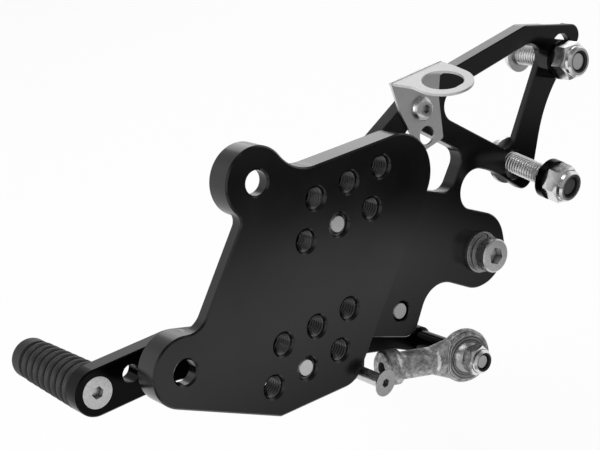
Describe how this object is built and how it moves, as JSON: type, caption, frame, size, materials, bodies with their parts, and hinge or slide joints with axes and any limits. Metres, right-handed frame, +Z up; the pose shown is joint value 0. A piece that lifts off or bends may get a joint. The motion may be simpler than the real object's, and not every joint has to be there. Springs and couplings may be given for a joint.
{
  "type": "rear set footrest",
  "caption": "Motorcycle rear set: tapped mounting plate, carrier plate with foot peg, brake pedal with ribbed toe peg, rod end and reservoir bracket.",
  "frame": {"origin": "centre of the upper frame bore, on the inboard face of the mounting plate", "axes": "+X towards the rear of the motorcycle, +Y outboard along the bores, +Z up"},
  "size_m": [0.2407, 0.1216, 0.1228],
  "materials": {
    "black_anodised": "satin",
    "black_steel": "satin",
    "brushed_stainless": "brushed",
    "stainless": "satin",
    "zinc_steel": "satin",
    "polished_steel": "polished",
    "cast_steel": "rough",
    "turned_steel": "satin",
    "bronze": "satin",
    "nylon": "matte",
    "black_rubber": "matte"
  },
  "bodies": {
    "bracket": {"mounting_plate": "black_anodised", "carrier_plate": "black_anodised", "plate_screw_upper": "stainless", "plate_screw_lower": "stainless", "reservoir_bracket": "brushed_stainless", "bracket_screw": "stainless", "cylinder_bolt_upper": "zinc_steel", "cylinder_washer_upper": "black_steel", "cylinder_spacer_upper": "black_anodised", "cylinder_nut_upper": "zinc_steel", "cylinder_nut_ring_upper": "nylon", "cylinder_bolt_lower": "zinc_steel", "cylinder_washer_lower": "black_steel", "cylinder_washer_lower_second": "black_steel", "cylinder_wide_washer": "stainless", "cylinder_nut_lower": "zinc_steel", "cylinder_nut_ring_lower": "nylon", "foot_peg": "black_anodised", "foot_peg_screw": "stainless", "foot_peg_washer": "stainless", "foot_peg_spring_washer": "stainless", "pedal_pivot_bolt": "zinc_steel", "pedal_spacer": "black_anodised", "loose_countersunk_screw": "stainless"},
    "pedal": {"brake_pedal": "black_anodised", "pedal_bush": "bronze", "toe_peg_core": "stainless", "toe_peg_rubber": "black_rubber", "toe_peg_screw": "stainless", "rod_bolt": "zinc_steel", "rod_spacer": "black_anodised", "rod_nut": "zinc_steel", "rod_nut_ring": "nylon"},
    "rod_end_ball_body": {"rod_end_ball": "polished_steel"},
    "rod_end_body": {"rod_end_race": "turned_steel", "rod_end_housing": "cast_steel"}
  },
  "joints": [
    {"name": "pedal_pivot", "type": "hinge", "parent": "bracket", "child": "pedal", "pos_m": [0.0558, 0.0275, -0.0754], "axis": [0, 1, 0], "range_deg": [-12, 4]},
    {"name": "rod_end_swing", "type": "hinge", "parent": "pedal", "child": "rod_end_ball_body", "pos_m": [0.0739, 0, -0.1], "axis": [0, 1, 0], "range_deg": [-90, 3]},
    {"name": "rod_end_tilt", "type": "hinge", "parent": "rod_end_ball_body", "child": "rod_end_body", "pos_m": [0.0739, 0, -0.1], "axis": [0.2521, 0, 0.9677], "range_deg": [-2, 24]}
  ]
}
